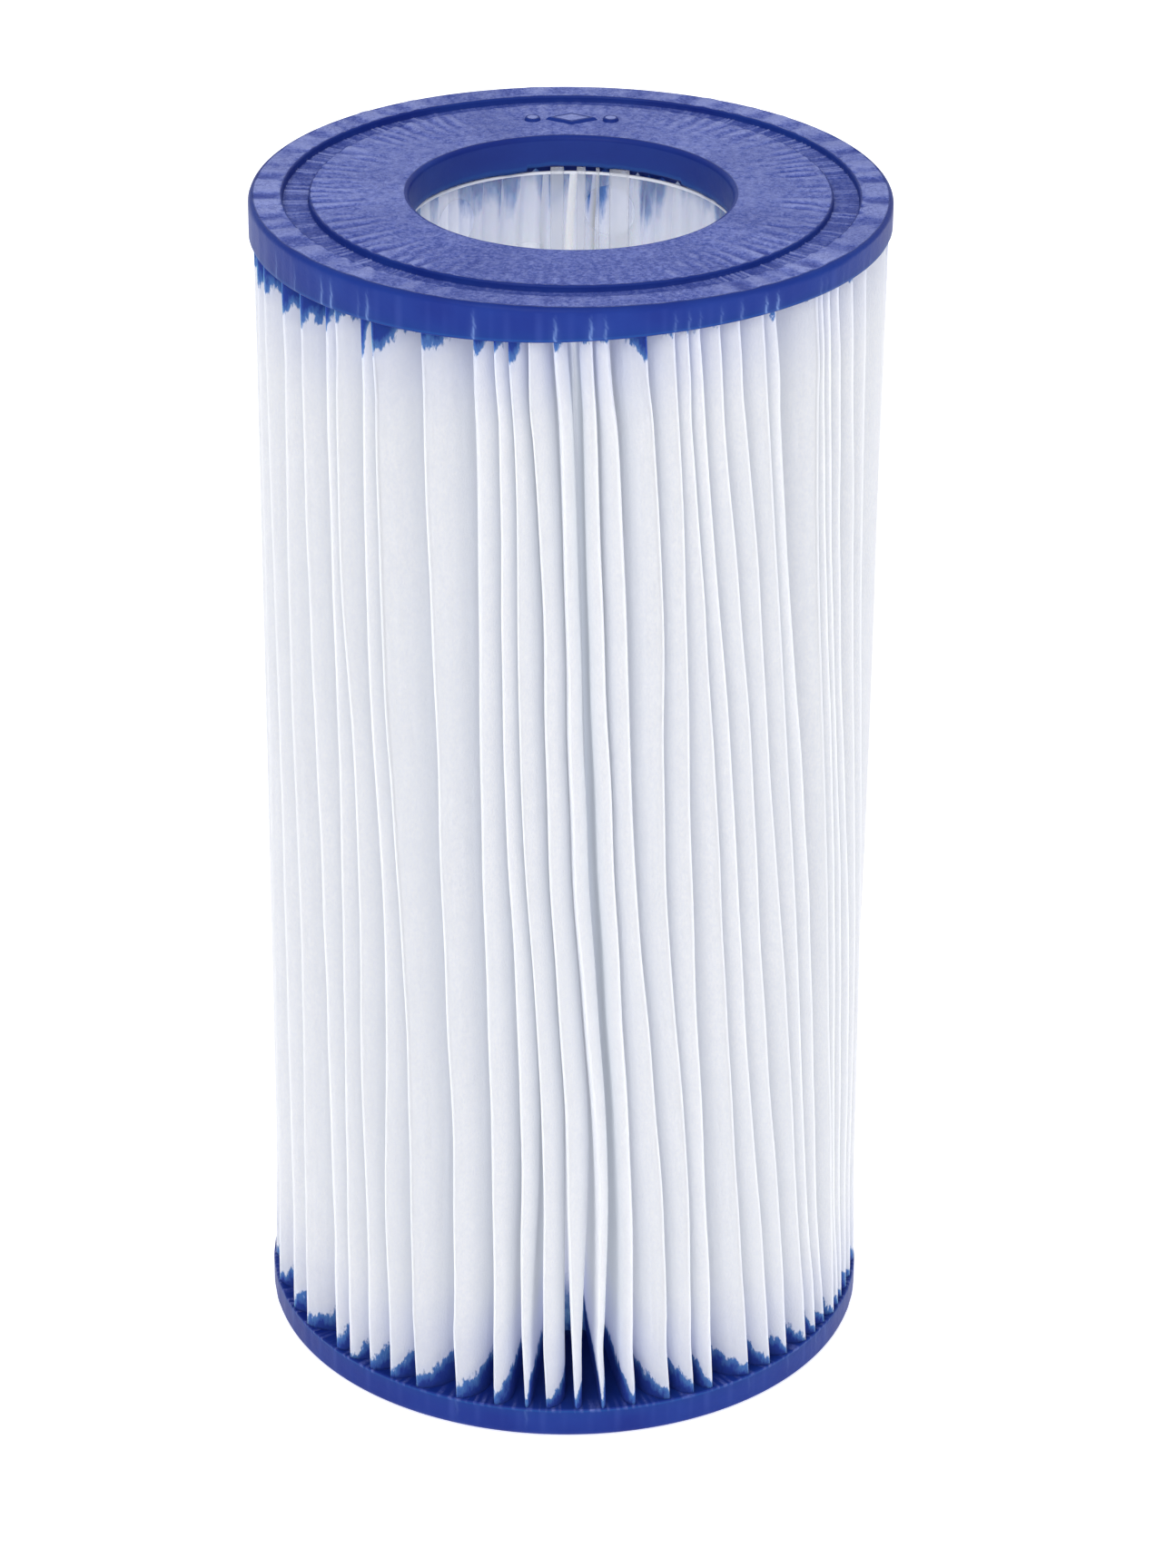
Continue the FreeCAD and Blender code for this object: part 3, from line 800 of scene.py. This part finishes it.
def cap_surface(folds, at_top):
    """A cap's points and what its material reads. folds are the pleats' angles in that cap."""
    profile = cap_profile()
    radius, height = profile[:, 0][:, None], profile[:, 1][:, None]
    angle = np.linspace(0, 360, CAP_STEPS, endpoint=False)[None, :]
    on = cap_regions(radius, height)
    marks = mould_marks(angle, folds)
    ripples = ripples_of_face(radius, on, marks)
    lift = cap_lift(radius, height, on, marks, ripples)
    swell = on.side * (0.04 * marks.over_fold + 0.035 * marks.slow + 0.02 * marks.stroke)
    if at_top:
        askew = (pour_line(angle) - (FACE_Z - CAP_SIDE)) * smoothstep(-height / CAP_SIDE)
        lift = lift + collar_gap(radius, height, angle) + askew * (radius > ROOT_RADIUS + 0.5)
        z = FACE_Z + height + lift
    else:
        # The cartridge stands on this face, so nothing on it stands proud.
        lift = np.where(on.face, np.minimum(lift, 0), lift)
        z = -(height + lift)
    reads = cap_reads(radius, height, angle, folds, on, marks, ripples, at_top)
    return around(radius + swell, angle, z), reads


def make_cap(name, node, folds, at_top, material):
    """A cap as one closed ring, turned and then given its relief."""
    points, reads = cap_surface(folds, at_top)
    rows, columns = points.shape[:2]
    faces = grid_faces(rows, columns, close_rows=True, close_columns=True)
    if not at_top:
        faces = [face[::-1] for face in faces]
    rides(mesh_object(name, points, faces, material, reads), "cap_plastisol", node)


def make_mark(material):
    """The plain raised mark on the top cap: a lozenge with a round dot either side of it."""
    outlines = [[(-MARK_LENGTH / 2, 0), (0, -MARK_WIDTH / 2), (MARK_LENGTH / 2, 0), (0, MARK_WIDTH / 2)]]
    turn = np.linspace(0, 2 * math.pi, 32, endpoint=False)
    outlines.append([(MARK_DOT_RADIUS * math.cos(t), MARK_DOT_RADIUS * math.sin(t)) for t in turn])
    # Height, size and chalkiness of each ring of the outline, from inside the cap up to the top. The band
    # of 0 round the edge of the top is painted shade: a dark outline standing in for the shade along the
    # mark's edges.
    rings = [(FACE_Z - 0.4, 1.1, 0), (FACE_Z + 0.03, 1.1, 0), (MARK_TOP - 0.08, 1.0, 0),
             (MARK_TOP, 0.95, 0), (MARK_TOP, 0.76, 0), (MARK_TOP, 0.7, 1)]
    points = []
    faces = []
    bloom_and_sheen = []
    for shape, shift in ((0, 0), (1, -MARK_DOT_OFFSET), (1, MARK_DOT_OFFSET)):
        outline = outlines[shape]
        start = len(points)
        count = len(outline)
        for z, size, chalk_and_sheen in rings:
            points += [(shift + x * size, MARK_RADIUS + y * size, z) for x, y in outline]
            bloom_and_sheen += [chalk_and_sheen] * count
        for ring in range(len(rings) - 1):
            low = start + ring * count
            for k in range(count):
                following = (k + 1) % count
                faces.append([low + k, low + following, low + count + following, low + count + k])
        faces.append([start + k for k in reversed(range(count))])
        faces.append([start + (len(rings) - 1) * count + k for k in range(count)])
    mark = mesh_object("raised_mark", np.array(points), faces, material, {"bloom_and_sheen": bloom_and_sheen, "flow_and_highlight": bloom_and_sheen})
    mark.data.polygons.foreach_set("use_smooth", [False] * len(mark.data.polygons))
    rides(mark, "cap_plastisol")


# ---- the core ----
CORE_HOLE_RADIUS = 4.5
CORE_COLUMNS = 12
CORE_ROWS = 19
CORE_ROW_PITCH = 10.1
CORE_HOLE_START = 14.0       # angle from the back of one hole of the top row
CORE_WALL = 0.5
CORE_RIM_DROP = 6.4          # of the core's rims below the caps' faces
CORE_LIP = 0.45              # height of the whitened lip at each rim
# Thin ribs inside the core below its top rim, at the back, as angles from and to. They stand up
# past the rim into the gap that the collar leaves.
CORE_RIBS = [(158.8, 166), (169.9, 171), (174.9, 178), (182.7, 187.4)]
RIB_LENGTH = 45.0
RIB_RISE = 0.8
RIB_INSET = 0.2
HOLE_EDGE_ALPHA = 0.2
RIB_ALPHA = 0.28
LIP_ALPHA = 0.9
CELL_STEPS = 8


def cell_edge():
    """Points round the square edge of one cell of the core, in -1 to 1 by -1 to 1."""
    t = np.linspace(-1, 1, CELL_STEPS, endpoint=False)
    one = np.ones(CELL_STEPS)
    return np.concatenate([np.stack([t, -one], 1), np.stack([one, t], 1),
                           np.stack([-t, one], 1), np.stack([-one, -t], 1)])


def make_core(wall, hole_edge, rib, lip):
    """The perforated tube, cell by cell: a cell with a hole is a square joined to a circle.

    Its points are kept as angle and height until the wall is rolled up at the end.
    """
    cell_width = 360 / CORE_COLUMNS
    middle = FACE_Z / 2
    first = middle + (CORE_ROWS - 1) / 2 * CORE_ROW_PITCH
    height_per_side = CORE_ROW_PITCH / 2
    width_per_side = CORE_RADIUS * math.radians(cell_width) / 2
    edge = cell_edge()
    bearing = np.arctan2(edge[:, 1] * height_per_side, edge[:, 0] * width_per_side)
    circle = np.stack([np.cos(bearing) * CORE_HOLE_RADIUS / width_per_side,
                       np.sin(bearing) * CORE_HOLE_RADIUS / height_per_side], 1)
    points = []
    faces = []

    def patch(rings, angle, z):
        start = len(points)
        count = len(rings[0])
        for ring in rings:
            for u, v in ring:
                points.append((angle + u * cell_width / 2, z + v * height_per_side))
        for k in range(len(rings) - 1):
            for j in range(count):
                j2 = (j + 1) % count
                a = start + k * count
                b = a + count
                faces.append([a + j, a + j2, b + j2, b + j])

    def plain(angle, low, high, steps, width=cell_width):
        start = len(points)
        columns = CELL_STEPS + 1
        for v in np.linspace(low, high, steps + 1):
            for u in np.linspace(-1, 1, columns):
                points.append((angle + u * width / 2, v))
        for quad in grid_faces(steps + 1, columns):
            faces.append([start + q for q in quad])

    for row in range(CORE_ROWS):
        z = first - row * CORE_ROW_PITCH
        for column in range(CORE_COLUMNS):
            angle = 180 - CORE_HOLE_START + column * cell_width
            if (row + column) % 2 == 0:
                inner = [edge * (1 - t) + circle * t for t in (0, 0.5, 1)]
                patch(inner, angle, z)
            else:
                plain(angle, z - height_per_side, z + height_per_side, CELL_STEPS)
    margin_low = middle - CORE_ROWS / 2 * CORE_ROW_PITCH
    margin_high = middle + CORE_ROWS / 2 * CORE_ROW_PITCH
    for column in range(CORE_COLUMNS):
        angle = 180 - CORE_HOLE_START + column * cell_width
        plain(angle, CORE_RIM_DROP, CORE_RIM_DROP + CORE_LIP, 1)
        plain(angle, CORE_RIM_DROP + CORE_LIP, margin_low, 1)
        plain(angle, margin_high, FACE_Z - CORE_RIM_DROP - CORE_LIP, 1)
        plain(angle, FACE_Z - CORE_RIM_DROP - CORE_LIP, FACE_Z - CORE_RIM_DROP, 1)
    wall_points = len(points)
    wall_faces = len(faces)
    for start, end in CORE_RIBS:
        rim = FACE_Z - CORE_RIM_DROP
        plain((start + end) / 2, rim - RIB_LENGTH, rim + RIB_RISE, 6, end - start)
    flat = np.array(points)
    radius = np.full(len(flat), CORE_RADIUS - CORE_WALL / 2)
    radius[wall_points:] -= RIB_INSET
    core = mesh_object("core_sleeve", around(radius, flat[:, 0], flat[:, 1]), faces, wall)
    weld = core.modifiers.new("weld", "WELD")
    weld.merge_threshold = 0.02 * MM
    thick = core.modifiers.new("wall", "SOLIDIFY")
    thick.thickness = CORE_WALL * MM
    thick.offset = 0
    # The wall's edges take the next material after the wall's own, and so do the ribs' edges.
    thick.material_offset_rim = 1
    for material in (hole_edge, rib, lip):
        core.data.materials.append(material)
    for index, face in enumerate(core.data.polygons):
        from_middle = abs(face.center.z / MM - middle)
        if index >= wall_faces:
            face.material_index = 2
        elif from_middle > middle - CORE_RIM_DROP - CORE_LIP:
            face.material_index = 3
    rides(core, "core_plastic", "core_tube")


# ---- the camera, lights and floor, in metres ----
CAMERA_SENSOR = 36           # this and the lens are in millimetres
CAMERA_LENS = 112.42
CAMERA_PLACE = (0, -0.7543, 0.4833)
CAMERA_DOWN = 26.96          # degrees that it looks down
CAMERA_PAN = -0.199
CAMERA_ROLL = 0.455
SKY_COLOUR = (0.95, 0.965, 1, 1)
SKY_STRENGTH = 0.93
FLAGS_SHADE = 0.62
BORE_GLOW_Z = 0.172          # a small softbox inside the bore, which faces up and isn't seen
FLOOR_HALF = 3.0
FLOOR_Z = -0.0002


def make_camera():
    """Looks down at the cartridge from the front, close enough for the caps to differ in size."""
    data = bpy.data.cameras.new("camera")
    data.sensor_width = CAMERA_SENSOR
    data.lens = CAMERA_LENS
    camera = bpy.data.objects.new("camera", data)
    bpy.context.scene.collection.objects.link(camera)
    bpy.context.scene.camera = camera
    turn = Matrix.Rotation(math.radians(CAMERA_PAN), 4, "Z")
    tip = Matrix.Rotation(math.radians(90 - CAMERA_DOWN), 4, "X")
    roll = Matrix.Rotation(math.radians(CAMERA_ROLL), 4, "Z")
    camera.matrix_world = Matrix.Translation(CAMERA_PLACE) @ turn @ tip @ roll
    data.clip_start = 0.05
    data.clip_end = 20


def make_light(name, place, size, power):
    """A softbox that points at the middle of the cartridge."""
    data = bpy.data.lights.new(name, "AREA")
    data.shape = "RECTANGLE"
    data.size, data.size_y = size
    data.energy = power
    light = bpy.data.objects.new(name, data)
    light.location = place
    middle = (CAD_BOX[0] + CAD_BOX[1]) / 2
    light.rotation_euler = (middle - light.location).to_track_quat("-Z", "Y").to_euler()
    bpy.context.scene.collection.objects.link(light)
    return light


def make_studio():
    """A soft sky, two softboxes, a faint light inside the bore, and a plain pale floor."""
    world = bpy.data.worlds.new("studio")
    bpy.context.scene.world = world
    world.use_nodes = True
    tree = world.node_tree
    sky = tree.nodes["Background"]
    sky.inputs["Color"].default_value = SKY_COLOUR
    # Dimmer to the left and right, as beside two dark flags, so that the white sheet keeps its edges.
    direction = tree.nodes.new("ShaderNodeSeparateXYZ")
    squared = tree.nodes.new("ShaderNodeMath")
    dimmed = tree.nodes.new("ShaderNodeMath")
    squared.operation = "MULTIPLY"
    dimmed.operation = "MULTIPLY_ADD"
    dimmed.inputs[1].default_value = -FLAGS_SHADE
    dimmed.inputs[2].default_value = SKY_STRENGTH
    tree.links.new(tree.nodes.new("ShaderNodeTexCoord").outputs["Generated"], direction.inputs[0])
    tree.links.new(direction.outputs["X"], squared.inputs[0])
    tree.links.new(direction.outputs["X"], squared.inputs[1])
    tree.links.new(squared.outputs[0], dimmed.inputs[0])
    tree.links.new(dimmed.outputs[0], sky.inputs["Strength"])
    make_light("key_softbox", (-0.4, -1.1, 1.1), (0.9, 0.9), 8.0)
    make_light("fill_softbox", (1.0, -0.7, 0.6), (0.6, 0.9), 2.0)
    glow = make_light("bore_glow", (0, 0, BORE_GLOW_Z), (0.03, 0.03), 0.002)
    glow.rotation_euler = (math.pi, 0, 0)
    glow.visible_camera = False
    corners = [(-1, -1), (1, -1), (1, 1), (-1, 1)]
    floor_points = np.array([(x * FLOOR_HALF, y * FLOOR_HALF, FLOOR_Z) for x, y in corners]) / MM
    mesh_object("studio_floor", floor_points, [[0, 1, 2, 3]], floor_material())


bpy.context.scene.view_settings.view_transform = "Standard"
make_camera()
make_studio()
heights = levels()
folds = fold_angles(heights)
sheet_points, sheet_reads = sheet_rows(heights, folds)
make_sheet(heights, sheet_points, sheet_reads, sheet_material())
make_seam(heights, sheet_points, seam_material())
plastisol = cap_material()
make_cap("bottom_cap", "bottom_end_cap", folds[0], False, plastisol)
make_cap("top_cap", "top_end_cap", folds[-1], True, plastisol)
make_mark(plastisol)
make_core(
    core_material(),
    cut_edge_material("core_hole_edge", HOLE_EDGE_ALPHA),
    cut_edge_material("core_rib", RIB_ALPHA),
    cut_edge_material("core_lip", LIP_ALPHA),
)
